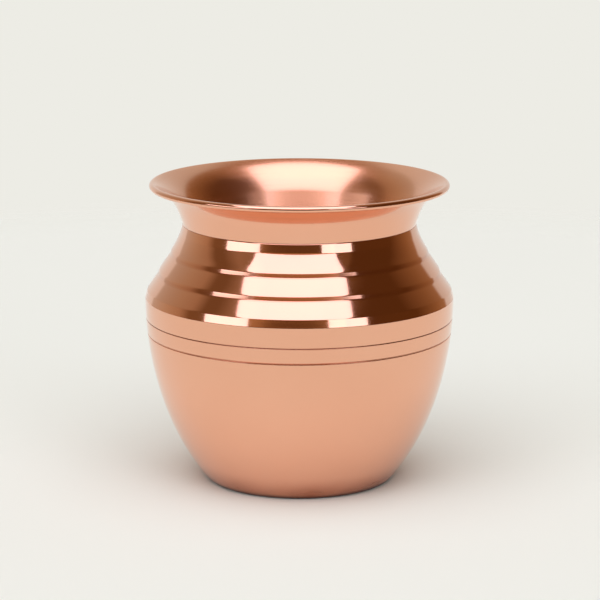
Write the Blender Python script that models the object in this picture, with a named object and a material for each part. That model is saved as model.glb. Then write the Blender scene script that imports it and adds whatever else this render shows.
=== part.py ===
# Copper lota: a small round water pot, spun from copper sheet in three shells that are
# lapped one inside the next and brazed. The rim is rolled over a wire.
# The pot stands on z = 0 with its axis on +Z. Lengths are metres, angles radians.

import math

import bmesh
import bpy

MM = 0.001

# Stock and clearances
SHEET = 0.45 * MM  # copper sheet of all three shells
WIRE_RADIUS = 0.52 * MM  # core wire of the rim
WIRE_PLAY = 0.08 * MM  # between the core wire and the sheet rolled round it
FIT = 0.3 * MM  # in the lap joints and round the braze

# Heights of the three stages, one on top of the other
BOWL_HEIGHT = 62.0 * MM  # foot to the widest place
SHOULDER_HEIGHT = 23.6 * MM  # widest place to the narrowest
MOUTH_HEIGHT = 14.2 * MM  # narrowest place to the top of the rim

# Radii of the outer surface
FOOT_RADIUS = 30.7 * MM  # where the bowl's curve would reach the ground
BELLY_RADIUS = 51.15 * MM
NECK_RADIUS = 38.6 * MM
RIM_RADIUS = 49.5 * MM

# Bowl
FOOT_ROUND = 1.6 * MM  # turn between the bowl's wall and the ring that it stands on
FOOT_LAND = 5.0 * MM  # width of that ring
DISH_RISE = 0.8 * MM  # of the bottom's middle, above the ring
SEAM_DROP = 7.2 * MM  # belly down to the seam between bowl and shoulder
LINE_DROP = 5.0 * MM  # seam down to the fine line turned in the bowl
LINE_WIDTH = 0.5 * MM
LINE_DEPTH = 0.2 * MM
LIP_SHORTFALL = 1.2 * MM  # the bowl's lip stops this far below the belly

# Shoulder
EDGE_RISE = 1.4 * MM  # height of the sloping edge above the belly
EDGE_LEAN = math.radians(14)  # of that edge, from the upright
NECK_HOLLOW = 16.0 * MM  # concave turn below the neck
NECK_LEAN = math.radians(15)  # of the last stretch up to the neck, from the upright
NECK_STRETCH = 3.9 * MM  # height of that stretch
RIB_COUNT = 3
RIB_DEPTH = 0.3 * MM  # how far each rib stands out at its foot
RIB_RISER = 0.7 * MM  # height of the short step from a rib up to the foot of the next
RIB_GAP = 2.8 * MM  # plain stretch between the top rib and the narrowest place
SEAM_BEVEL = 0.15 * MM  # on both edges of the two seams, outside

# Collar
COLLAR_LAP = 5.0 * MM  # how far the collar's skirt hangs down inside the shoulder
FLARE_START = math.radians(5)  # part of an ellipse that the mouth follows, from its waist
FLARE_END = math.radians(54)
CURL_TURN = math.radians(290)  # how far the edge is rolled, outwards and under

# Braze
BELLY_BRAZE_LEG = 0.8 * MM
NECK_BRAZE_LEG = 1.6 * MM
BRAZE_HOLLOW = 1 / 3  # share of its two legs that a fillet's face keeps at the middle

# Facets
SEGMENTS = 48  # round every turned piece
BOWL_STEPS = 8
DISH_STEPS = 3
ROUND_STEPS = 3
RIB_STEPS = 3
FLARE_STEPS = 7
CURL_STEPS = 8
WIRE_SIDES = 6
FOOT_HALVINGS = 60  # of the interval in which the start of the foot's turn is sought
WELD = 0.001 * MM
SHARP_ANGLE = math.radians(30)

# Looks
COPPER = (0.87, 0.45, 0.30)
BRAZE = (0.80, 0.60, 0.30)

# Sizes that follow from the ones above
NECK_HEIGHT = BOWL_HEIGHT + SHOULDER_HEIGHT
RIM_HEIGHT = NECK_HEIGHT + MOUTH_HEIGHT
SEAM_HEIGHT = BOWL_HEIGHT - SEAM_DROP
LINE_HEIGHT = SEAM_HEIGHT - LINE_DROP
BOWL_DROP = BOWL_HEIGHT / math.sqrt(1 - (FOOT_RADIUS / BELLY_RADIUS) ** 2)
HOLLOW_TOP = NECK_HEIGHT - NECK_STRETCH
HOLLOW_CENTRE = (
    NECK_RADIUS + NECK_STRETCH * math.tan(NECK_LEAN) + NECK_HOLLOW * math.cos(NECK_LEAN),
    HOLLOW_TOP + NECK_HOLLOW * math.sin(NECK_LEAN),
)
RIBS_FOOT = BOWL_HEIGHT + EDGE_RISE
RIBS_RADIUS = BELLY_RADIUS - EDGE_RISE * math.tan(EDGE_LEAN) - RIB_DEPTH
HOLLOW_ACROSS = HOLLOW_CENTRE[0] - RIBS_RADIUS
HOLLOW_UP = HOLLOW_CENTRE[1] - RIBS_FOOT
SHOULDER_SLOPE = math.asin(NECK_HOLLOW / math.hypot(HOLLOW_ACROSS, HOLLOW_UP)) - math.atan2(
    HOLLOW_ACROSS, HOLLOW_UP
)
RIBS_TOP = NECK_HEIGHT - RIB_GAP
RIB_RISE = (RIBS_TOP + RIB_RISER - RIBS_FOOT) / RIB_COUNT
RIB_FALL = RIB_RISE - RIB_RISER
HOLLOW_FOOT = HOLLOW_CENTRE[1] - NECK_HOLLOW * math.sin(SHOULDER_SLOPE)
BOWL_SHELF = SEAM_HEIGHT - FIT / 2
SHOULDER_FOOT = SEAM_HEIGHT + FIT / 2
SHOULDER_CROWN = NECK_HEIGHT - FIT / 2
COLLAR_SHELF = NECK_HEIGHT + FIT / 2
LIP_TOP = BOWL_HEIGHT - LIP_SHORTFALL
SKIRT_FOOT = NECK_HEIGHT - COLLAR_LAP
SKIRT_RADIUS = NECK_RADIUS - SHEET - FIT
BEAD_HOLLOW = WIRE_RADIUS + WIRE_PLAY
BEAD_RADIUS = BEAD_HOLLOW + SHEET
BEAD_CENTRE = (RIM_RADIUS - BEAD_RADIUS, RIM_HEIGHT - BEAD_RADIUS)


def arc(centre, radius, start, end, steps):
    """Points on a circle, as (distance from the axis, height)."""
    turn = (end - start) / steps
    return [
        (
            centre[0] + radius * math.cos(start + turn * i),
            centre[1] + radius * math.sin(start + turn * i),
        )
        for i in range(steps + 1)
    ]


def moved(path, distances):
    """An open path with each point moved to its right-hand side by its own distance."""
    result = []
    for i, distance in enumerate(distances):
        before = path[max(i - 1, 0)]
        after = path[min(i + 1, len(path) - 1)]
        across = after[0] - before[0]
        up = after[1] - before[1]
        share = distance / math.hypot(across, up)
        result.append((path[i][0] + up * share, path[i][1] - across * share))
    return result


def inner_face(path):
    """The inner face of a sheet whose outer face runs up this path."""
    return moved(path, [-SHEET] * len(path))


def bowl_angle(height):
    """Where the bowl's ellipse passes a height, as the ellipse's own angle below the belly."""
    return math.asin((BOWL_HEIGHT - height) / BOWL_DROP)


def bowl_point(angle):
    return (BELLY_RADIUS * math.cos(angle), BOWL_HEIGHT - BOWL_DROP * math.sin(angle))


def bowl_radius(height):
    return bowl_point(bowl_angle(height))[0]


def bowl_normal(angle):
    """The direction of the bowl's outward normal, as an angle above the horizontal."""
    return math.atan2(-math.sin(angle) / BOWL_DROP, math.cos(angle) / BELLY_RADIUS)


def bowl_wall(low, high, steps):
    """The bowl's outer face between two heights, bottom to top."""
    start = bowl_angle(low)
    turn = (bowl_angle(high) - start) / steps
    return [bowl_point(start + turn * i) for i in range(steps + 1)]


def foot_turn():
    """The turn from the flat ring into the bowl's wall, which it meets without a corner."""
    low = 0.0
    high = bowl_angle(0.0)
    for _ in range(FOOT_HALVINGS):
        angle = (low + high) / 2
        point = bowl_point(angle)
        normal = bowl_normal(angle)
        centre = (
            point[0] - FOOT_ROUND * math.cos(normal),
            point[1] - FOOT_ROUND * math.sin(normal),
        )
        if centre[1] > FOOT_ROUND:
            low = angle
        else:
            high = angle
    return arc(centre, FOOT_ROUND, -math.pi / 2, normal, ROUND_STEPS)


def bowl_base():
    """The bowl's outer face from the middle of its dished bottom to the start of its wall."""
    turn = foot_turn()
    dish_radius = turn[0][0] - FOOT_LAND
    shares = [i / DISH_STEPS for i in range(DISH_STEPS + 1)]
    dish = [(dish_radius * share, DISH_RISE * (1 - share**2)) for share in shares]
    return dish + turn


def bowl_lip():
    """Radii of the outer and inner face of the lip that stands up inside the shoulder."""
    outer = bowl_radius(SEAM_HEIGHT) - SHEET - FIT
    return outer, outer - SHEET


def bowl_outline():
    """The bowl's section: base, wall with one turned line, and a lip set in by one sheet."""
    base = bowl_base()
    wall_foot = base[-1][1]
    below = bowl_wall(wall_foot, LINE_HEIGHT - LINE_WIDTH / 2, BOWL_STEPS)
    line = [(bowl_radius(LINE_HEIGHT) - LINE_DEPTH, LINE_HEIGHT)]
    above = bowl_wall(LINE_HEIGHT + LINE_WIDTH / 2, BOWL_SHELF - SEAM_BEVEL, 1)
    lip_outer, lip_inner = bowl_lip()
    lip = [
        (bowl_radius(BOWL_SHELF) - SEAM_BEVEL, BOWL_SHELF),
        (lip_outer, BOWL_SHELF),
        (lip_outer, LIP_TOP),
        (lip_inner, LIP_TOP),
        (lip_inner, BOWL_SHELF),
    ]
    joggle_foot = BOWL_SHELF - SHEET - FIT
    inside = inner_face(base + bowl_wall(wall_foot, joggle_foot, BOWL_STEPS)[1:])
    inside[0] = (0.0, DISH_RISE + SHEET)
    return base + below[1:] + line + above + lip + inside[::-1]


def hollow_radius(height):
    """The shoulder's concave turn below the neck at a height."""
    down = HOLLOW_CENTRE[1] - height
    return HOLLOW_CENTRE[0] - math.sqrt(NECK_HOLLOW**2 - down**2)


def shoulder_radius(height):
    """The shoulder without ribs at a height: a slope, the concave turn that it touches and the
    last stretch up to the neck."""
    if height >= HOLLOW_TOP:
        return NECK_RADIUS + math.tan(NECK_LEAN) * (NECK_HEIGHT - height)
    if height >= HOLLOW_FOOT:
        return hollow_radius(height)
    return RIBS_RADIUS - math.tan(SHOULDER_SLOPE) * (height - RIBS_FOOT)


def rib_depth(height):
    """How far the shoulder stands out on its ribs: most at the foot of each, where the belly's
    edge or a short riser leads up to it, and less and less above."""
    if height >= RIBS_TOP:
        return 0.0
    up = (height - RIBS_FOOT) % RIB_RISE
    if up <= RIB_FALL:
        return RIB_DEPTH * (1 - up / RIB_FALL)
    return RIB_DEPTH * (up - RIB_FALL) / RIB_RISER


def shoulder_heights():
    """Where the shoulder's outer face has its points above the belly's edge, bottom to top."""
    ribs = [
        RIBS_FOOT + RIB_RISE * rib + RIB_FALL * i / RIB_STEPS
        for rib in range(RIB_COUNT)
        for i in range(RIB_STEPS + 1)
    ]
    return ribs + [SHOULDER_CROWN - SEAM_BEVEL]


def shoulder_faces():
    """The shoulder's outer and inner face, bottom to top, without the bevels of its edges."""
    heights = shoulder_heights()
    plain = [(shoulder_radius(height), height) for height in heights]
    ribbed = moved(plain, [rib_depth(height) for height in heights])
    skirt = bowl_wall(SHOULDER_FOOT + SEAM_BEVEL, BOWL_HEIGHT, ROUND_STEPS)
    outer = skirt + ribbed
    inner = inner_face(outer)
    foot = (bowl_radius(SHOULDER_FOOT) - SHEET, SHOULDER_FOOT)
    crown = (NECK_RADIUS - SHEET, SHOULDER_CROWN)
    return outer, [foot] + inner + [crown]


def shoulder_outline():
    """The shoulder's section: a skirt over the bowl's lip, the belly's edge, ribs and hollow."""
    outer, inner = shoulder_faces()
    foot_bevel = (bowl_radius(SHOULDER_FOOT) - SEAM_BEVEL, SHOULDER_FOOT)
    crown_bevel = (NECK_RADIUS - SEAM_BEVEL, SHOULDER_CROWN)
    return [foot_bevel] + outer + [crown_bevel] + inner[::-1]


def shoulder_inner_radius(height):
    """The shoulder's inner face at a height, read along its own straight facets."""
    _, inner = shoulder_faces()
    for low, high in zip(inner, inner[1:]):
        if low[1] <= height <= high[1]:
            share = (height - low[1]) / (high[1] - low[1])
            return low[0] + (high[0] - low[0]) * share
    raise ValueError("the shoulder doesn't reach this height")


def flare_axes(end):
    """Half axes of the ellipse that leads from the neck to a point, over the mouth's angles."""
    wide = (end[0] - NECK_RADIUS) / (math.cos(FLARE_START) - math.cos(FLARE_END))
    tall = (end[1] - NECK_HEIGHT) / (math.sin(FLARE_END) - math.sin(FLARE_START))
    return wide, tall


def lip_slope():
    """The rise of the mouth where it runs into the rolled rim, as an angle."""
    wide, tall = flare_axes(BEAD_CENTRE)
    return math.atan2(tall * math.cos(FLARE_END), wide * math.sin(FLARE_END))


def flare():
    """The collar's outer face from the neck to the hollow of the rolled rim."""
    slope = lip_slope()
    wide, tall = flare_axes(
        (
            BEAD_CENTRE[0] - BEAD_HOLLOW * math.sin(slope),
            BEAD_CENTRE[1] + BEAD_HOLLOW * math.cos(slope),
        )
    )
    turn = (FLARE_END - FLARE_START) / FLARE_STEPS
    angles = [FLARE_START + turn * i for i in range(FLARE_STEPS + 1)]
    return [
        (
            NECK_RADIUS + wide * (math.cos(FLARE_START) - math.cos(angle)),
            NECK_HEIGHT + tall * (math.sin(angle) - math.sin(FLARE_START)),
        )
        for angle in angles
    ]


def collar_outline():
    """The collar's section: a skirt inside the shoulder, a shelf above its crown, the flared
    mouth and the rolled edge."""
    outside = flare()
    inside = inner_face(outside)
    start = math.pi / 2 + lip_slope()
    hollow = arc(BEAD_CENTRE, BEAD_HOLLOW, start, start - CURL_TURN, CURL_STEPS)
    bead = arc(BEAD_CENTRE, BEAD_RADIUS, start - CURL_TURN, start, CURL_STEPS)
    skirt = [
        (SKIRT_RADIUS - SHEET, COLLAR_SHELF),
        (SKIRT_RADIUS - SHEET, SKIRT_FOOT),
        (SKIRT_RADIUS, SKIRT_FOOT),
        (SKIRT_RADIUS, COLLAR_SHELF),
        (NECK_RADIUS - SEAM_BEVEL, COLLAR_SHELF),
        (NECK_RADIUS, COLLAR_SHELF + SEAM_BEVEL),
    ]
    return skirt + outside[1:-1] + hollow + bead + inside[-2:0:-1]


def wire_outline():
    circle = arc(BEAD_CENTRE, WIRE_RADIUS, 0.0, 2 * math.pi, WIRE_SIDES)
    return circle[:-1]


def braze_outline(edge_radius, edge_height, leg):
    """A hollow-faced fillet from the edge of a lapped sheet to the shoulder's inner face.
    It rises from the edge, or hangs below it where the leg is negative."""
    seat = edge_height + math.copysign(FIT, leg)
    corner = shoulder_inner_radius(seat) - FIT
    tip = shoulder_inner_radius(seat + leg) - FIT
    return [
        (edge_radius, seat),
        (corner, seat),
        (tip, seat + leg),
        (corner - (corner - edge_radius) * BRAZE_HOLLOW, seat + leg * BRAZE_HOLLOW),
    ]


def metal(name, colour, roughness):
    material = bpy.data.materials.new(name)
    material.use_nodes = True
    shader = material.node_tree.nodes["Principled BSDF"]
    shader.inputs["Base Color"].default_value = (*colour, 1.0)
    shader.inputs["Metallic"].default_value = 1.0
    shader.inputs["Roughness"].default_value = roughness
    return material


def turned(name, outline, material):
    """One solid: a section in the XZ plane, spun round the Z axis."""
    shape = bmesh.new()
    points = [shape.verts.new((radius, 0.0, height)) for radius, height in outline]
    edges = [shape.edges.new(pair) for pair in zip(points, points[1:])]
    if outline[0][0] > 0:
        edges.append(shape.edges.new((points[-1], points[0])))
    bmesh.ops.spin(
        shape,
        geom=points + edges,
        cent=(0.0, 0.0, 0.0),
        axis=(0.0, 0.0, 1.0),
        angle=2 * math.pi,
        steps=SEGMENTS,
        use_merge=True,
    )
    bmesh.ops.remove_doubles(shape, verts=shape.verts, dist=WELD)
    bmesh.ops.recalc_face_normals(shape, faces=shape.faces)
    mesh = bpy.data.meshes.new(name)
    shape.to_mesh(mesh)
    shape.free()
    mesh.shade_smooth()
    mesh.set_sharp_from_angle(angle=SHARP_ANGLE)
    mesh.materials.append(material)
    piece = bpy.data.objects.new(name, mesh)
    bpy.context.scene.collection.objects.link(piece)
    return piece


def main():
    for old in list(bpy.data.objects):
        bpy.data.objects.remove(old)
    lota = bpy.data.objects.new("lota", None)
    bpy.context.scene.collection.objects.link(lota)

    lip_inner = bowl_lip()[1]
    belly_braze = braze_outline(lip_inner, LIP_TOP, BELLY_BRAZE_LEG)
    neck_braze = braze_outline(SKIRT_RADIUS - SHEET, SKIRT_FOOT, -NECK_BRAZE_LEG)
    pieces = [
        turned("lower_bowl", bowl_outline(), metal("satin copper", COPPER, 0.16)),
        turned("ribbed_shoulder", shoulder_outline(), metal("bright copper", COPPER, 0.08)),
        turned("mouth_collar", collar_outline(), metal("polished copper", COPPER, 0.12)),
        turned("rim_wire", wire_outline(), metal("copper wire", COPPER, 0.3)),
        turned("belly_braze", belly_braze, metal("belly braze", BRAZE, 0.35)),
        turned("neck_braze", neck_braze, metal("neck braze", BRAZE, 0.35)),
    ]
    for piece in pieces:
        piece.parent = lota


main()
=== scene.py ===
import math
import bpy
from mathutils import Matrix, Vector


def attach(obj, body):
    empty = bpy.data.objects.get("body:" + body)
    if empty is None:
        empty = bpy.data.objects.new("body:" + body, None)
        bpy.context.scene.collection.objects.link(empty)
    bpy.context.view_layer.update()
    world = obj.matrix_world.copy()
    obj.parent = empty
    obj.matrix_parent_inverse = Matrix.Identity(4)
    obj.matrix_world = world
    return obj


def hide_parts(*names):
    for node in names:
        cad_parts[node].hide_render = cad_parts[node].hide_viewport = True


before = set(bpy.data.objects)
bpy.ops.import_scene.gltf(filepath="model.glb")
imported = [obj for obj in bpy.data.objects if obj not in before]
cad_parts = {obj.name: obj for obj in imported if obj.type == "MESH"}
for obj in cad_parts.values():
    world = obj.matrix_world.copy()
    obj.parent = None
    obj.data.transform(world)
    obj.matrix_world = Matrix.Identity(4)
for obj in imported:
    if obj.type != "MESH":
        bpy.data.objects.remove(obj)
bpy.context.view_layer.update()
print("frame loaded:", sorted(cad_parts))

scene = bpy.context.scene
scene.view_settings.view_transform = "Standard"
mm = 0.001

# sizes that the shells share, in millimetres, and how finely they are made
pot = {
    "sheet": 0.45,
    "segments": 256,
    "footRadius": 30.7,  # where the bowl's curve would reach the ground
    "bellyRadius": 51.15,
    "bellyHeight": 62.0,
    "neckRadius": 38.55,
    "neckHeight": 86.0,
    "rimRadius": 49.5,
    "rimHeight": 99.8,
    "seamHeight": 54.8,
    "seamGap": 0.12,  # open width of the belly's seam
    "neckGap": 0.04,  # and of the neck's
    "seamRound": 0.14,  # rounded edge on either side of the belly's seam
    "neckRound": 0.06,  # and of the neck's
    "roundSteps": 4,  # of those two rounded edges
    "edgeSoft": 0.06,  # bevel on the bowl's other edges
    "bevelAngle": 40.0,  # degrees, edges that are sharper than this are bevelled
    "bevelSteps": 2,
    "mergeDistance": 0.002,  # points this near to each other are one
}

# camera, fitted to the rings of the pot in the photo
cameraSetup = {
    "lens": 156.0,
    "sensor": 36.0,
    "clipStart": 0.01,
    "aim": (0.0, 0.0, 0.05),  # point on the pot's axis
    "distance": 0.86667,
    "lookDown": 12.71,  # degrees, along the line to the aim point
    "aimRight": -0.6,  # pixels of the aim point from the middle of the image
    "aimBelow": 28.6,
    "imageWidth": 600,
}


def addCamera(setup):
    data = bpy.data.cameras.new("photoCamera")
    data.lens = setup["lens"]
    data.sensor_width = setup["sensor"]
    data.clip_start = setup["clipStart"]
    camera = bpy.data.objects.new("photoCamera", data)
    scene.collection.objects.link(camera)
    down = math.radians(setup["lookDown"])
    back = Vector((0.0, -math.cos(down), math.sin(down)))
    camera.location = Vector(setup["aim"]) + back * setup["distance"]
    focal = setup["lens"] / setup["sensor"] * setup["imageWidth"]  # in pixels
    pitch = down - math.atan(setup["aimBelow"] / focal)
    yaw = math.atan(setup["aimRight"] / focal)
    camera.rotation_euler = (math.pi / 2 - pitch, 0.0, yaw)
    scene.camera = camera
    print("camera at", [round(c, 4) for c in camera.location])


addCamera(cameraSetup)


# outlines are lists of (distance from the axis, height) in millimetres
def arcPoints(centre, radius, start, end, steps):
    angles = [start + (end - start) / steps * i for i in range(steps + 1)]
    return [(centre[0] + radius * math.cos(a), centre[1] + radius * math.sin(a)) for a in angles]


def shifted(path, distances):
    # every point moved to the right-hand side of the path by its own distance
    result = []
    for i, distance in enumerate(distances):
        before = path[max(i - 1, 0)]
        after = path[min(i + 1, len(path) - 1)]
        across = after[0] - before[0]
        up = after[1] - before[1]
        share = distance / math.hypot(across, up)
        result.append((path[i][0] + up * share, path[i][1] - across * share))
    return result


def insideOf(path):
    return shifted(path, [-pot["sheet"]] * len(path))


def selectPoints(piece, test):
    # vertices picked in object mode, by their place
    bpy.ops.mesh.select_mode(type="VERT")
    bpy.ops.mesh.select_all(action="DESELECT")
    bpy.ops.object.mode_set(mode="OBJECT")
    for vertex in piece.data.vertices:
        vertex.select = test(vertex)
    bpy.ops.object.mode_set(mode="EDIT")


def turnOnAxis(name, outline):
    # one point is drawn out along the outline, closed where it can be, and spun round the axis
    bpy.ops.object.select_all(action="DESELECT")
    bpy.ops.mesh.primitive_plane_add(size=mm, location=(0.0, 0.0, 0.0))
    piece = bpy.context.active_object
    piece.name = name
    piece.data.name = name
    bpy.ops.object.mode_set(mode="EDIT")
    bpy.ops.mesh.select_mode(type="VERT")
    bpy.ops.mesh.select_all(action="SELECT")
    bpy.ops.mesh.merge(type="CENTER")
    points = [Vector((r * mm, 0.0, z * mm)) for r, z in outline]
    bpy.ops.transform.translate(value=points[0])
    for before, after in zip(points, points[1:]):
        bpy.ops.mesh.extrude_region_move(TRANSFORM_OT_translate={"value": after - before})
    if outline[0][0] > 0:
        last = len(points) - 1
        selectPoints(piece, lambda vertex: vertex.index in (0, last))
        bpy.ops.mesh.edge_face_add()
    bpy.ops.object.mode_set(mode="OBJECT")
    lathe = piece.modifiers.new("lathe", "SCREW")
    lathe.axis = "Z"
    lathe.angle = 2 * math.pi
    lathe.steps = pot["segments"]
    lathe.render_steps = pot["segments"]
    bpy.ops.object.modifier_apply(modifier=lathe.name)
    bpy.ops.object.mode_set(mode="EDIT")
    bpy.ops.mesh.select_all(action="SELECT")
    bpy.ops.mesh.remove_doubles(threshold=pot["mergeDistance"] * mm)
    bpy.ops.mesh.normals_make_consistent(inside=False)
    bpy.ops.object.mode_set(mode="OBJECT")
    return piece


def finishPiece(piece, soften, smoothAngle):
    # bevels the hard edges that are left and smooths the rest
    if soften > 0:
        bevel = piece.modifiers.new("edgeBevel", "BEVEL")
        bevel.width = soften * mm
        bevel.segments = pot["bevelSteps"]
        bevel.limit_method = "ANGLE"
        bevel.angle_limit = math.radians(pot["bevelAngle"])
        bpy.ops.object.modifier_apply(modifier=bevel.name)
    bpy.ops.object.shade_smooth_by_angle(angle=math.radians(smoothAngle))


insideSetup = {
    "undersideTilt": -0.9,  # faces whose normals point up by less than this look down
    "bottomTilt": 0.5,  # and those that point up by more, low in the pot, are its bottom
    "bottomBelow": 10.0,
}


def paintInside(piece, setup):
    # faces that look towards the axis, and the top side of the bottom, take the second finish
    bpy.ops.object.mode_set(mode="EDIT")
    bpy.ops.mesh.select_mode(type="FACE")
    bpy.ops.mesh.select_all(action="DESELECT")
    bpy.ops.object.mode_set(mode="OBJECT")
    for face in piece.data.polygons:
        outward = face.center.x * face.normal.x + face.center.y * face.normal.y
        underside = face.normal.z < setup["undersideTilt"]
        low = face.center.z < setup["bottomBelow"] * mm
        bottom = low and face.normal.z > setup["bottomTilt"]
        face.select = (outward < 0.0 and not underside) or bottom
    bpy.ops.object.mode_set(mode="EDIT")
    piece.active_material_index = 1
    bpy.ops.object.material_slot_assign()
    bpy.ops.object.mode_set(mode="OBJECT")


def handOver(piece, node, material, insideMaterial=None):
    piece.data.materials.clear()
    piece.data.materials.append(material)
    if insideMaterial:
        piece.data.materials.append(insideMaterial)
        paintInside(piece, insideSetup)
    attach(piece, "root")
    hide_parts(node)
    print(piece.name, "made:", len(piece.data.polygons), "faces")


# node helpers for the finishes
def feed(tree, socket, value):
    # a socket's output is linked, a plain value is set
    if hasattr(value, "links"):
        tree.links.new(value, socket)
    else:
        socket.default_value = value


def addNode(tree, kind, **inputs):
    # inputs are given by their name, or as i0, i1 and so on by their number
    node = tree.nodes.new(kind)
    for key, value in inputs.items():
        numbered = key[0] == "i" and key[1:].isdigit()
        feed(tree, node.inputs[int(key[1:]) if numbered else key], value)
    return node


def mathNode(tree, operation, first, second=0.0):
    node = addNode(tree, "ShaderNodeMath", i0=first, i1=second)
    node.operation = operation
    return node.outputs[0]


def rangeNode(tree, value, fromLow, fromHigh, toLow, toHigh):
    limits = {"i1": fromLow, "i2": fromHigh, "i3": toLow, "i4": toHigh}
    node = addNode(tree, "ShaderNodeMapRange", i0=value, **limits)
    node.interpolation_type = "SMOOTHSTEP"
    return node.outputs[0]


def mixColour(tree, factor, first, second):
    node = tree.nodes.new("ShaderNodeMix")
    node.data_type = "RGBA"
    for number, value in ((0, factor), (6, first), (7, second)):  # the sockets for colours
        feed(tree, node.inputs[number], value)
    return node.outputs[2]


def noiseNode(tree, vector, scale, detail):
    node = addNode(tree, "ShaderNodeTexNoise", Vector=vector, Scale=scale, Detail=detail)
    return node.outputs[0]


def copperFinish(look):
    material = bpy.data.materials.new(look["name"])
    material.use_nodes = True
    tree = material.node_tree
    shader = tree.nodes["Principled BSDF"]
    shader.inputs["Metallic"].default_value = 1.0
    shader.inputs["Coat Weight"].default_value = look["lacquer"]
    shader.inputs["Coat Roughness"].default_value = look["lacquerRough"]

    place = addNode(tree, "ShaderNodeTexCoord").outputs["Object"]
    axes = addNode(tree, "ShaderNodeSeparateXYZ", Vector=place).outputs
    squares = [mathNode(tree, "MULTIPLY", axes[k], axes[k]) for k in (0, 1)]
    radius = mathNode(tree, "SQRT", mathNode(tree, "ADD", *squares))
    along = mathNode(tree, "ADD", axes[2], mathNode(tree, "MULTIPLY", radius, look["markLean"]))

    # turning marks: noise that is stretched round the axis
    stretched = addNode(
        tree, "ShaderNodeCombineXYZ",
        X=mathNode(tree, "MULTIPLY", axes[0], look["markRound"]),
        Y=mathNode(tree, "MULTIPLY", axes[1], look["markRound"]),
        Z=mathNode(tree, "MULTIPLY", along, look["markFine"]),
    ).outputs[0]
    marks = noiseNode(tree, stretched, 1.0, look["markDetail"])
    wide = addNode(tree, "ShaderNodeVectorMath", i0=stretched, i1=(1.0, 1.0, look["markBroad"]))
    wide.operation = "MULTIPLY"
    broadMarks = noiseNode(tree, wide.outputs[0], 1.0, look["broadDetail"])
    cloud = noiseNode(tree, place, look["cloudScale"], look["cloudDetail"])
    low, high = look["noiseRange"]

    # tarnish, dark in the seams and lines; painted shade along the risers under the ribs and at the
    # foot
    tarnishAndShade = rangeNode(tree, axes[2], 0.0, look["footShadeHeight"] * mm, look["footShadeDark"], 0.0)
    for height, width, dark in look["tarnishAndShadeBands"]:
        gap = mathNode(tree, "ABSOLUTE", mathNode(tree, "SUBTRACT", axes[2], height * mm))
        band = rangeNode(tree, gap, 0.0, width * mm, dark, 0.0)
        tarnishAndShade = mathNode(tree, "MAXIMUM", tarnishAndShade, band)
    blotch = rangeNode(tree, cloud, *look["blotchRange"], look["blotchLeast"], 1.0)
    tarnishAndShade = mathNode(tree, "MULTIPLY", tarnishAndShade, blotch)

    shade = rangeNode(tree, cloud, low, high, 0.0, look["cloudShade"])
    colour = mixColour(tree, shade, (*look["colour"], 1.0), (*look["shadeColour"], 1.0))
    colour = mixColour(tree, tarnishAndShade, colour, (*look["tarnishAndShadeColour"], 1.0))

    # painted shade: a dark line where the pot meets the ground, on the outside of the foot only,
    # for the shadowed floor that the foot's turn mirrors
    contactShade = rangeNode(tree, axes[2], 0.0, look["contactShadeHeight"] * mm, look["contactShade"], 0.0)
    outside = rangeNode(tree, radius, look["contactShadeFrom"] * mm, look["contactShadeTo"] * mm, 0.0, 1.0)
    contactShade = mathNode(tree, "MULTIPLY", contactShade, outside)
    colour = mixColour(tree, contactShade, colour, (*look["contactShadeColour"], 1.0))
    tree.links.new(colour, shader.inputs["Base Color"])

    spread = look["roughSpread"]
    rough = rangeNode(tree, marks, low, high, look["rough"] - spread, look["rough"] + spread)
    rough = mathNode(tree, "ADD", rough, mathNode(tree, "MULTIPLY", tarnishAndShade, look["tarnishAndShadeRough"]))
    rough = mathNode(tree, "ADD", rough, mathNode(tree, "MULTIPLY", shade, look["cloudRough"]))
    tree.links.new(rough, shader.inputs["Roughness"])

    fine = mathNode(tree, "MULTIPLY", marks, look["fineDepth"])
    broad = mathNode(tree, "MULTIPLY", broadMarks, look["broadDepth"])
    relief = mathNode(tree, "ADD", fine, broad)
    bump = addNode(tree, "ShaderNodeBump", Strength=1.0, Distance=look["bump"] * mm, Height=relief)
    tree.links.new(bump.outputs[0], shader.inputs["Normal"])
    return material


copperLook = {
    "colour": (0.885, 0.462, 0.307),
    "shadeColour": (0.85, 0.42, 0.27),
    # colour of the tarnish in the seams, and of the painted shade at the foot and along the risers
    "tarnishAndShadeColour": (0.42, 0.10, 0.03),
    "lacquer": 0.4,  # thin clear coat that keeps the copper bright
    "lacquerRough": 0.04,
    "rough": 0.10,
    "roughSpread": 0.02,
    "tarnishAndShadeRough": 0.25,
    "cloudRough": 0.05,
    "noiseRange": (0.3, 0.7),  # part of each noise that is used
    "cloudScale": 28.0,
    "cloudDetail": 4.0,
    "cloudShade": 0.35,
    "markLean": 0.43,  # lets the marks also run round flat places
    "markRound": 30.0,  # noise cells in a metre, round the pot
    "markFine": 6500.0,  # and along its outline
    "markDetail": 3.0,
    "markBroad": 0.16,  # share of those cells that the broad marks have
    "broadDetail": 2.0,
    "fineDepth": 0.5,
    "broadDepth": 1.0,
    "bump": 0.0012,
    "blotchRange": (0.35, 0.75),
    "blotchLeast": 0.45,  # share of the tarnish and painted shade that is left in the clearest places
    # painted shade towards the foot: the height it reaches and its darkness
    "footShadeHeight": 3.0,
    "footShadeDark": 0.0,
    # painted shade at the contact line: its darkness, height, reach from the axis and colour
    "contactShade": 0.0,
    "contactShadeHeight": 1.8,
    "contactShadeFrom": 29.6,  # from the axis, at the edge of the ring that the pot stands on
    "contactShadeTo": 30.2,
    "contactShadeColour": (0.09, 0.02, 0.008),
    "tarnishAndShadeBands": [],  # height, half width and darkness of each
}
insideLook = dict(
    copperLook, name="spunInside", colour=(0.885, 0.455, 0.28), rough=0.21, roughSpread=0.03,
)
insideFinish = copperFinish(insideLook)


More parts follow.
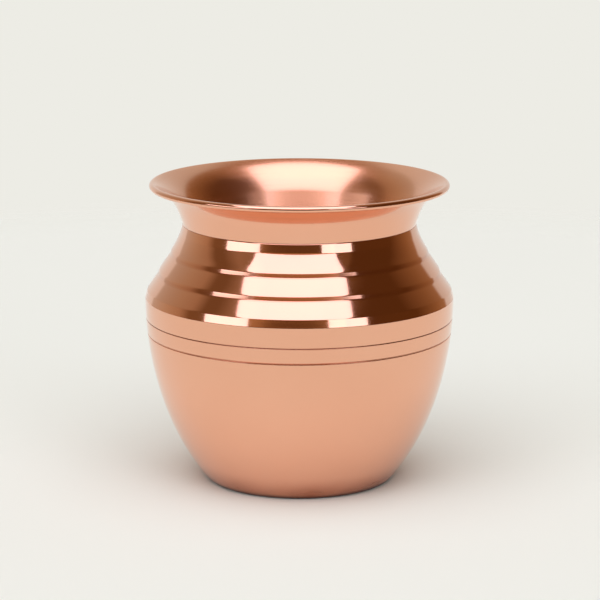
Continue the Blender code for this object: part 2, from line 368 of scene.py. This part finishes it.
# lower bowl: dished bottom, round wall with one turned line, lip set in under the shoulder
bowlSetup = {
    "footRound": 1.6,
    "footLand": 5.0,  # ring that the pot stands on
    "dishRise": 0.8,
    "dishSteps": 14,
    "turnSteps": 8,
    "wallSteps": 54,
    "lineHeight": 49.8,
    "lineWidth": 0.46,
    "lineDepth": 0.2,
    "lineLedge": 0.85,  # share of half the width: the lower side is cut in nearly level
    "lineTop": 0.3,  # and the upper side slopes
    "bandSteps": 6,  # between the line and the seam
    "lipTop": 60.8,
    "lipPlay": 0.3,  # between the lip and the shoulder's skirt
    "smoothAngle": 35.0,
}
bowlLook = dict(
    copperLook, name="satinCopper", rough=0.11, roughSpread=0.02,
    # painted shade at the foot: darker and redder towards the ground, with a dark line at the
    # contact, for the shadowed floor the copper mirrors
    footShadeHeight=9.0, footShadeDark=0.95, contactShade=1.0,
    tarnishAndShadeBands=[(bowlSetup["lineHeight"], 0.35, 0.9), (pot["seamHeight"], 0.5, 0.9)],
)
bowlDrop = pot["bellyHeight"] / math.sqrt(1 - (pot["footRadius"] / pot["bellyRadius"]) ** 2)


def bowlAngle(height):
    return math.asin((pot["bellyHeight"] - height) / bowlDrop)


def bowlPoint(angle):
    return (pot["bellyRadius"] * math.cos(angle), pot["bellyHeight"] - bowlDrop * math.sin(angle))


def bowlRadius(height):
    return bowlPoint(bowlAngle(height))[0]


def bowlWall(low, high, steps):
    start = bowlAngle(low)
    turn = (bowlAngle(high) - start) / steps
    return [bowlPoint(start + turn * i) for i in range(steps + 1)]


def footTurn(setup):
    # the turn between ring and wall is found by halving, so that it meets the wall without a corner
    halvings = 60
    low = 0.0
    high = bowlAngle(0.0)
    rounding = setup["footRound"]
    for _ in range(halvings):
        angle = (low + high) / 2
        point = bowlPoint(angle)
        normal = math.atan2(-math.sin(angle) / bowlDrop, math.cos(angle) / pot["bellyRadius"])
        centre = (point[0] - rounding * math.cos(normal), point[1] - rounding * math.sin(normal))
        if centre[1] > rounding:
            low = angle
        else:
            high = angle
    return arcPoints(centre, rounding, -math.pi / 2, normal, setup["turnSteps"])


def bowlOutline(setup):
    turn = footTurn(setup)
    dishRadius = turn[0][0] - setup["footLand"]
    shares = [i / setup["dishSteps"] for i in range(setup["dishSteps"] + 1)]
    dish = [(dishRadius * share, setup["dishRise"] * (1 - share**2)) for share in shares]
    base = dish + turn
    wallFoot = base[-1][1]
    half = setup["lineWidth"] / 2
    lineHeight = setup["lineHeight"]
    shelf = pot["seamHeight"] - pot["seamGap"] / 2
    below = bowlWall(wallFoot, lineHeight - half, setup["wallSteps"])
    deep = bowlRadius(lineHeight) - setup["lineDepth"]
    line = [
        (deep, lineHeight - half * setup["lineLedge"]),
        (deep, lineHeight + half * setup["lineTop"]),
    ]
    rounding = pot["seamRound"]
    above = bowlWall(lineHeight + half, shelf - rounding, setup["bandSteps"])
    corner = (bowlRadius(shelf) - rounding, shelf - rounding)
    edge = arcPoints(corner, rounding, 0.0, math.pi / 2, pot["roundSteps"])[1:]
    lipOuter = bowlRadius(pot["seamHeight"]) - pot["sheet"] - setup["lipPlay"]
    lipInner = lipOuter - pot["sheet"]
    lip = [
        (lipOuter, shelf),
        (lipOuter, setup["lipTop"]),
        (lipInner, setup["lipTop"]),
        (lipInner, shelf),
    ]
    joggle = shelf - pot["sheet"] - setup["lipPlay"]
    inside = insideOf(base + bowlWall(wallFoot, joggle, setup["wallSteps"])[1:])
    inside[0] = (0.0, setup["dishRise"] + pot["sheet"])
    return base + below[1:] + line + above + edge + lip + inside[::-1]


bowl = turnOnAxis("bowlShell", bowlOutline(bowlSetup))
finishPiece(bowl, pot["edgeSoft"], bowlSetup["smoothAngle"])
handOver(bowl, "lower_bowl", copperFinish(bowlLook), insideFinish)


# shoulder: skirt over the bowl's lip, edge of the belly, three stepped ribs, hollow under the neck
shoulderSetup = {
    "edgeFoot": 61.5,  # sloping edge above the belly
    "edgeRise": 2.4,
    "edgeLean": 16.5,  # degrees from the upright
    "edgeSharp": 0.1,  # half width of the turn at either end of that edge
    "hollowRound": 16.0,  # radius of the hollow under the neck
    "neckLean": 15.0,  # degrees from the upright, of the last stretch up to the neck
    "neckStretch": 3.6,
    "ribCount": 3,
    "ribRise": 6.63,
    "ribDepth": 0.32,
    "ribRiser": 1.43,  # the riser under each of the upper two ribs
    "riserEase": 0.15,  # share of the riser that is eased at either end
    "fallCurve": 1.3,  # 1 would be a straight fall behind the crest
    "ribsTop": 83.0,  # where the top rib dies away
    "topCurve": 3.0,
    "skirtSteps": 10,
    "edgeSteps": 6,
    "fallSteps": 16,
    "riserSteps": 14,
    "hollowSteps": 12,
    "smoothAngle": 35.0,
}
shoulderLook = dict(
    copperLook, name="brightCopper", rough=0.07, roughSpread=0.015, tarnishAndShadeRough=0.06,
    tarnishAndShadeBands=[
        (pot["seamHeight"], 0.4, 0.9),
        (69.7, 1.2, 0.4),  # painted shade along the risers under the upper two ribs, widening the dark lines and dimming the glints there
        (76.35, 1.2, 0.4),
        (pot["neckHeight"], 0.35, 0.3),
    ],
)


def riserShare(up, ease):
    # a straight rise from 0 to 1, eased at both ends
    if up > 0.5:
        return 1 - riserShare(1 - up, ease)
    if up < ease:
        return up**2 / (2 * ease * (1 - ease))
    return (up - ease / 2) / (1 - ease)


def shoulderOutline(setup):
    hollow = setup["hollowRound"]
    lean = math.radians(setup["neckLean"])
    hollowTop = pot["neckHeight"] - setup["neckStretch"]
    hollowCentre = (
        pot["neckRadius"] + setup["neckStretch"] * math.tan(lean) + hollow * math.cos(lean),
        hollowTop + hollow * math.sin(lean),
    )
    ribsFoot = setup["edgeFoot"] + setup["edgeRise"]
    edgeTop = pot["bellyRadius"] - setup["edgeRise"] * math.tan(math.radians(setup["edgeLean"]))
    ribsRadius = edgeTop - setup["ribDepth"]
    across = hollowCentre[0] - ribsRadius
    rise = hollowCentre[1] - ribsFoot
    slope = math.asin(hollow / math.hypot(across, rise)) - math.atan2(across, rise)
    ribRise = setup["ribRise"]
    topRib = setup["ribCount"] - 1
    ribFall = ribRise - setup["ribRiser"]
    topFall = setup["ribsTop"] - ribsFoot - ribRise * topRib
    hollowFoot = hollowCentre[1] - hollow * math.sin(slope)

    def plainRadius(height):
        if height >= hollowTop:
            return pot["neckRadius"] + math.tan(lean) * (pot["neckHeight"] - height)
        if height >= hollowFoot:
            return hollowCentre[0] - math.sqrt(hollow**2 - (hollowCentre[1] - height) ** 2)
        return ribsRadius - math.tan(slope) * (height - ribsFoot)

    def ribHeight(height):
        rib = min(int((height - ribsFoot) / ribRise), topRib)
        up = height - ribsFoot - ribRise * rib
        if rib == topRib:
            return setup["ribDepth"] * (1 - min(up / topFall, 1.0) ** setup["topCurve"])
        if up <= ribFall:
            return setup["ribDepth"] * (1 - (up / ribFall) ** setup["fallCurve"])
        riserUp = (up - ribFall) / setup["ribRiser"]
        return setup["ribDepth"] * riserShare(riserUp, setup["riserEase"])

    crown = pot["neckHeight"] - pot["neckGap"] / 2
    foot = pot["seamHeight"] + pot["seamGap"] / 2
    heights = []
    for rib in range(setup["ribCount"]):
        ribFoot = ribsFoot + ribRise * rib
        fall = topFall if rib == topRib else ribFall
        heights += [ribFoot + fall * i / setup["fallSteps"] for i in range(setup["fallSteps"])]
        if rib < topRib:
            riserStep = setup["ribRiser"] / setup["riserSteps"]
            heights += [ribFoot + ribFall + riserStep * i for i in range(setup["riserSteps"])]
    hollowStep = (crown - pot["neckRound"] - setup["ribsTop"]) / setup["hollowSteps"]
    heights += [setup["ribsTop"] + hollowStep * i for i in range(setup["hollowSteps"] + 1)]
    plain = [(plainRadius(height), height) for height in heights]
    ribbed = shifted(plain, [ribHeight(height) for height in heights])
    sharp = setup["edgeSharp"]
    skirt = bowlWall(foot + pot["seamRound"], setup["edgeFoot"] - sharp, setup["skirtSteps"])
    belly = (bowlRadius(setup["edgeFoot"]), setup["edgeFoot"])
    first = sharp / setup["edgeRise"]
    edgeStep = (1 - 2 * first) / setup["edgeSteps"]
    shares = [0.0] + [first + edgeStep * i for i in range(setup["edgeSteps"] + 1)]
    edge = [tuple(belly[k] + (ribbed[0][k] - belly[k]) * share for k in (0, 1)) for share in shares]
    outer = skirt + edge + ribbed
    inner = insideOf(outer)
    footCorner = (bowlRadius(foot) - pot["seamRound"], foot + pot["seamRound"])
    crownCorner = (pot["neckRadius"] - pot["neckRound"], crown - pot["neckRound"])
    steps = pot["roundSteps"]
    footEdge = arcPoints(footCorner, pot["seamRound"], -math.pi / 2, 0.0, steps)[:-1]
    crownEdge = arcPoints(crownCorner, pot["neckRound"], 0.0, math.pi / 2, steps)[1:]
    innerFoot = (bowlRadius(foot) - pot["sheet"], foot)
    innerCrown = (pot["neckRadius"] - pot["sheet"], crown)
    return footEdge + outer + crownEdge + [innerCrown] + inner[::-1] + [innerFoot]


shoulder = turnOnAxis("ribbedShoulder", shoulderOutline(shoulderSetup))
finishPiece(shoulder, 0.0, shoulderSetup["smoothAngle"])
handOver(shoulder, "ribbed_shoulder", copperFinish(shoulderLook), insideFinish)


# collar: skirt inside the shoulder, neck, flared mouth and the edge rolled over the wire
collarSetup = {
    "lap": 5.55,  # length of the skirt under the neck
    "lapPlay": 0.06,  # between the skirt and the shoulder, at the neck
    "flareStart": 7.0,  # part of the ellipse that the mouth follows, in degrees from its waist
    "flareEnd": 54.0,
    "flareSteps": 36,
    "flareEase": 0.17,  # fuller by this much above the neck, and leaner under the rim
    "throatTop": 90.0,  # inside, the flare runs down into the skirt as a plain cone
    "throatFoot": 84.4,
    "throatRadius": 37.3,
    "throatTurn": 0.8,  # height over which the cone meets the skirt
    "throatSteps": 12,
    "curlTurn": 292.0,  # degrees that the edge is rolled
    "curlSteps": 30,
    "wireRadius": 0.52,
    "wirePlay": 0.08,
    "smoothAngle": 40.0,
}
collarLook = dict(
    copperLook, name="polishedCopper", rough=0.09, roughSpread=0.02,
    tarnishAndShadeBands=[(pot["neckHeight"], 0.3, 0.3)],
)


def collarOutline(setup):
    bead = setup["wireRadius"] + setup["wirePlay"] + pot["sheet"]
    hollow = bead - pot["sheet"]
    centre = (pot["rimRadius"] - bead, pot["rimHeight"] - bead)
    first = math.radians(setup["flareStart"])
    last = math.radians(setup["flareEnd"])

    def ellipseTo(point):
        wide = (point[0] - pot["neckRadius"]) / (math.cos(first) - math.cos(last))
        tall = (point[1] - pot["neckHeight"]) / (math.sin(last) - math.sin(first))
        return wide, tall

    wide, tall = ellipseTo(centre)
    slope = math.atan2(tall * math.cos(last), wide * math.sin(last))
    flareTop = (centre[0] - hollow * math.sin(slope), centre[1] + hollow * math.cos(slope))
    wide, tall = ellipseTo(flareTop)
    step = (last - first) / setup["flareSteps"]
    angles = [first + step * i for i in range(setup["flareSteps"] + 1)]
    outside = []
    for angle in angles:
        up = (math.sin(angle) - math.sin(first)) / (math.sin(last) - math.sin(first))
        ease = setup["flareEase"] * math.sin(2 * math.pi * up)
        outside.append((
            pot["neckRadius"] + wide * (math.cos(first) - math.cos(angle)) + ease,
            pot["neckHeight"] + tall * (math.sin(angle) - math.sin(first)),
        ))
    inside = [point for point in insideOf(outside) if point[1] > setup["throatTop"]]
    start = math.pi / 2 + slope
    end = start - math.radians(setup["curlTurn"])
    inCurl = arcPoints(centre, hollow, start, end, setup["curlSteps"])
    outCurl = arcPoints(centre, bead, end, start, setup["curlSteps"])
    skirtOuter = pot["neckRadius"] - pot["sheet"] - setup["lapPlay"]
    shelf = pot["neckHeight"] + pot["neckGap"] / 2
    skirtFoot = pot["neckHeight"] - setup["lap"]
    skirtInner = skirtOuter - pot["sheet"]
    corner = (pot["neckRadius"] - pot["neckRound"], shelf + pot["neckRound"])
    edge = arcPoints(corner, pot["neckRound"], -math.pi / 2, 0.0, pot["roundSteps"])
    skirt = [
        (setup["throatRadius"], setup["throatFoot"]),
        (skirtInner, setup["throatFoot"] - setup["throatTurn"]),
        (skirtInner, skirtFoot),
        (skirtOuter, skirtFoot),
        (skirtOuter, shelf),
    ]
    shares = [i / setup["throatSteps"] for i in range(1, setup["throatSteps"])]
    top, foot = inside[0], skirt[0]
    throat = [tuple(top[k] + (foot[k] - top[k]) * share for k in (0, 1)) for share in shares]
    return skirt + edge + outside[1:-1] + inCurl + outCurl + inside[-2::-1] + throat


collar = turnOnAxis("mouthCollar", collarOutline(collarSetup))
finishPiece(collar, 0.0, collarSetup["smoothAngle"])
handOver(collar, "mouth_collar", copperFinish(collarLook), insideFinish)


# core wire, in the middle of the rolled edge
wireSetup = {
    "sides": 16,
    "radius": collarSetup["wireRadius"],
    "ring": 48.45,
    "height": 98.75,
    "smoothAngle": 60.0,
}
wireLook = dict(
    copperLook, name="drawnWire", colour=(0.80, 0.42, 0.28), rough=0.3, roughSpread=0.05,
    lacquer=0.0,
)


def wireOutline(setup):
    centre = (setup["ring"], setup["height"])
    return arcPoints(centre, setup["radius"], 0.0, 2 * math.pi, setup["sides"])[:-1]


wire = turnOnAxis("rimWire", wireOutline(wireSetup))
finishPiece(wire, 0.0, wireSetup["smoothAngle"])
handOver(wire, "rim_wire", copperFinish(wireLook))


# braze: a hollow-faced fillet in each lap, a little uneven as it set
brazeLook = dict(
    copperLook, name="setBraze", colour=(0.80, 0.60, 0.30), shadeColour=(0.66, 0.44, 0.20),
    lacquer=0.0, rough=0.32, roughSpread=0.08, cloudScale=160.0, cloudShade=0.8,
    markFine=400.0, markRound=200.0, bump=0.03,
)
brazeFinish = copperFinish(brazeLook)
brazeShape = {
    "faceSteps": 8,
    "faceHollow": 0.16,  # share of the fillet's width and height that the face is drawn in to
    "level": 0.01,  # corners this near to the seat's height lie on it
    "slice": 0.001,
    "smoothAngle": 50.0,
}
bellyBrazeSetup = dict(
    brazeShape, name="bellyBraze", node="belly_braze", unevenness=0.06, grain=2.2,
)
neckBrazeSetup = dict(
    brazeShape, name="neckBraze", node="neck_braze", unevenness=0.10, grain=3.0,
)


def brazeCorners(setup):
    # the fillet's own corners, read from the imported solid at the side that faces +X
    points = [vertex.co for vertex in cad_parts[setup["node"]].data.vertices]
    near = [p for p in points if abs(p.y) < setup["slice"] * mm and p.x > 0]
    return sorted({(round(p.x / mm, 4), round(p.z / mm, 4)) for p in near})


def brazeOutline(setup):
    corners = brazeCorners(setup)
    edge = min(corners)
    seat = edge[1]
    tip = max(corners, key=lambda corner: abs(corner[1] - seat))
    corner = max(c for c in corners if abs(c[1] - seat) < setup["level"])
    hollow = setup["faceHollow"]
    middle = (corner[0] - (corner[0] - edge[0]) * hollow, seat + (tip[1] - seat) * hollow)
    face = []
    for i in range(1, setup["faceSteps"]):
        # the hollow face, from the tip back to the edge
        t = i / setup["faceSteps"]
        keep, pull, reach = (1 - t) ** 2, 2 * t * (1 - t), t**2
        face.append(tuple(keep * tip[k] + pull * middle[k] + reach * edge[k] for k in (0, 1)))
    return [edge, corner, tip] + face


def addBraze(setup):
    braze = turnOnAxis(setup["name"], brazeOutline(setup))
    grain = bpy.data.textures.new(setup["name"] + "Grain", "CLOUDS")
    grain.noise_scale = setup["grain"] * mm
    uneven = braze.modifiers.new("uneven", "DISPLACE")
    uneven.texture = grain
    uneven.texture_coords = "LOCAL"
    uneven.strength = setup["unevenness"] * mm
    bpy.ops.object.modifier_apply(modifier=uneven.name)
    finishPiece(braze, 0.0, setup["smoothAngle"])
    handOver(braze, setup["node"], brazeFinish)


addBraze(bellyBrazeSetup)
addBraze(neckBrazeSetup)


# floor, world and lamps
floorSetup = {
    "radius": 0.56,
    "sides": 96,
    "height": -0.00003,  # a hair under the foot, so that the two don't share a plane
    "fadeFrom": 0.44,
    "fadeTo": 0.54,
    "colour": (0.86, 0.852, 0.80),
    "rough": 0.9,
}


def addFloor(setup):
    # a round pale floor; its edge fades into the background, which has the same colour
    bpy.ops.object.select_all(action="DESELECT")
    bpy.ops.mesh.primitive_circle_add(
        vertices=setup["sides"], radius=setup["radius"], fill_type="NGON",
        location=(0.0, 0.0, setup["height"]),
    )
    floor = bpy.context.active_object
    floor.name = "studioFloor"
    material = bpy.data.materials.new("floorPaint")
    material.use_nodes = True
    tree = material.node_tree
    shader = tree.nodes["Principled BSDF"]
    shader.inputs["Base Color"].default_value = (*setup["colour"], 1.0)
    shader.inputs["Roughness"].default_value = setup["rough"]
    shader.inputs["Specular IOR Level"].default_value = 0.0
    place = addNode(tree, "ShaderNodeTexCoord").outputs["Object"]
    reach = addNode(tree, "ShaderNodeVectorMath", i0=place)
    reach.operation = "LENGTH"
    fade = rangeNode(tree, reach.outputs["Value"], setup["fadeFrom"], setup["fadeTo"], 1.0, 0.0)
    tree.links.new(fade, shader.inputs["Alpha"])
    floor.data.materials.append(material)
    print("floor made")


addFloor(floorSetup)

# what the copper mirrors: walls by their angle round from the camera's side, negative to the left
worldSetup = {
    "background": (0.847, 0.839, 0.783),
    "fill": (0.35, 0.325, 0.28),  # light on the floor from all round
    "ceiling": (0.33, 0.195, 0.10),
    "paleHigh": 0.85,  # share of the walls' brightness that is left high up
    "paleWhole": 0.45,  # where that is reached, as the sine of the angle above the horizon
    "ceilingFrom": 0.72,
    "ceilingWhole": 0.92,
    "walls": [
        (-180, (0.80, 0.78, 0.73)),
        (-142, (0.78, 0.76, 0.71)),
        (-139, (0.56, 0.50, 0.42)),
        (-115, (0.50, 0.38, 0.26)),
        (-100, (0.43, 0.29, 0.18)),
        (-90, (0.21, 0.115, 0.05)),
        (-80, (0.21, 0.115, 0.05)),
        (-64, (0.36, 0.23, 0.135)),
        (-48, (0.33, 0.205, 0.115)),
        (-38, (0.14, 0.065, 0.022)),
        (36, (0.14, 0.065, 0.022)),
        (42, (0.22, 0.12, 0.055)),
        (51, (0.20, 0.105, 0.045)),
        (56, (0.112, 0.047, 0.0125)),
        (98, (0.112, 0.047, 0.0125)),
        (124, (0.28, 0.15, 0.062)),
        (137, (0.36, 0.21, 0.105)),
        (140, (0.66, 0.64, 0.60)),
        (180, (0.80, 0.78, 0.73)),
    ],
}


def addWorld(setup):
    world = bpy.data.worlds.new("studio")
    scene.world = world
    world.use_nodes = True
    tree = world.node_tree
    background = tree.nodes["Background"]
    direction = addNode(tree, "ShaderNodeTexCoord").outputs["Generated"]
    axes = addNode(tree, "ShaderNodeSeparateXYZ", Vector=direction).outputs
    turn = mathNode(tree, "ARCTAN2", axes[0], mathNode(tree, "MULTIPLY", axes[1], -1.0))
    turn = mathNode(tree, "ADD", mathNode(tree, "DIVIDE", turn, 2 * math.pi), 0.5)
    ramp = addNode(tree, "ShaderNodeValToRGB", Fac=turn)
    elements = ramp.color_ramp.elements
    while len(elements) < len(setup["walls"]):
        elements.new(0.5)  # placed below
    for element, (angle, colour) in zip(elements, setup["walls"]):
        element.position = angle / 360 + 0.5
        element.color = (*colour, 1.0)
    dim = rangeNode(tree, axes[2], 0.0, setup["paleWhole"], 1.0, setup["paleHigh"])
    walls = addNode(tree, "ShaderNodeVectorMath", i0=ramp.outputs[0], i3=dim)
    walls.operation = "SCALE"
    high = rangeNode(tree, axes[2], setup["ceilingFrom"], setup["ceilingWhole"], 0.0, 1.0)
    room = mixColour(tree, high, walls.outputs[0], (*setup["ceiling"], 1.0))
    light = addNode(tree, "ShaderNodeLightPath").outputs
    fill = (*setup["fill"], 1.0)
    shown = mixColour(tree, light["Is Camera Ray"], fill, (*setup["background"], 1.0))
    mirrored = mathNode(tree, "MAXIMUM", light["Is Glossy Ray"], light["Is Transmission Ray"])
    tree.links.new(mixColour(tree, mirrored, shown, room), background.inputs["Color"])
    background.inputs["Strength"].default_value = 1.0
    print("world made:", len(setup["walls"]), "wall colours")


addWorld(worldSetup)

# soft boxes, far off and facing the pot: the line out to each is given in degrees, round from the
# camera's side and up, and its sides, foot and head from that line as shares of the distance
lampStand = {"aim": (0.0, 0.0, 0.07), "distance": 10.0}
softbox = {"round": 0.0, "sides": (-0.78, 0.62), "span": (-0.22, 1.64), "glow": 2.0}
window = {"up": 17.0, "span": (-0.114, 0.114), "glow": 1.85, "tint": (0.92, 0.98, 1.2)}
lampSetups = [
    dict(softbox, name="mainSoftbox", up=45.4, tint=(0.93, 0.895, 1.13), lights="copper"),
    # a little steeper, so that the two don't share a plane
    dict(softbox, name="floorSoftbox", up=47.0, tint=(0.913, 0.959, 1.02), lights="floor"),
    {"name": "brownCard", "round": -2.0, "up": 27.0, "sides": (-0.695, 0.695),
     "span": (-0.105, 0.105), "glow": 0.32, "tint": (1.0, 0.63, 0.32)},
    dict(window, name="leftWindow", round=-57.0, sides=(-0.31, 0.31)),
    dict(window, name="rightWindow", round=37.0, sides=(-0.256, 0.256)),
]


def addLamp(setup, stand):
    data = bpy.data.lights.new(setup["name"], "AREA")
    data.shape = "RECTANGLE"
    data.size = (setup["sides"][1] - setup["sides"][0]) * stand["distance"]
    data.size_y = (setup["span"][1] - setup["span"][0]) * stand["distance"]
    data.energy = setup["glow"] * math.pi * data.size * data.size_y  # power for that glow
    data.color = setup["tint"]
    lamp = bpy.data.objects.new(setup["name"], data)
    scene.collection.objects.link(lamp)
    turn = math.radians(setup["round"])
    up = math.radians(setup["up"])
    out = Vector((math.sin(turn) * math.cos(up), -math.cos(turn) * math.cos(up), math.sin(up)))
    right = Vector((math.cos(turn), math.sin(turn), 0.0))
    rise = out.cross(right)
    middle = out + right * sum(setup["sides"]) / 2 + rise * sum(setup["span"]) / 2
    lamp.location = Vector(stand["aim"]) + middle * stand["distance"]
    lamp.rotation_euler = (math.pi / 2 - up, 0.0, turn)
    lamp.visible_camera = False
    # the floor is matt and the copper only mirrors, so a lamp can light one of them alone
    lamp.visible_diffuse = setup.get("lights") != "copper"
    lamp.visible_glossy = setup.get("lights") != "floor"
    print("lamp", setup["name"], "at", [round(c, 2) for c in lamp.location])


for lampSetup in lampSetups:
    addLamp(lampSetup, lampStand)
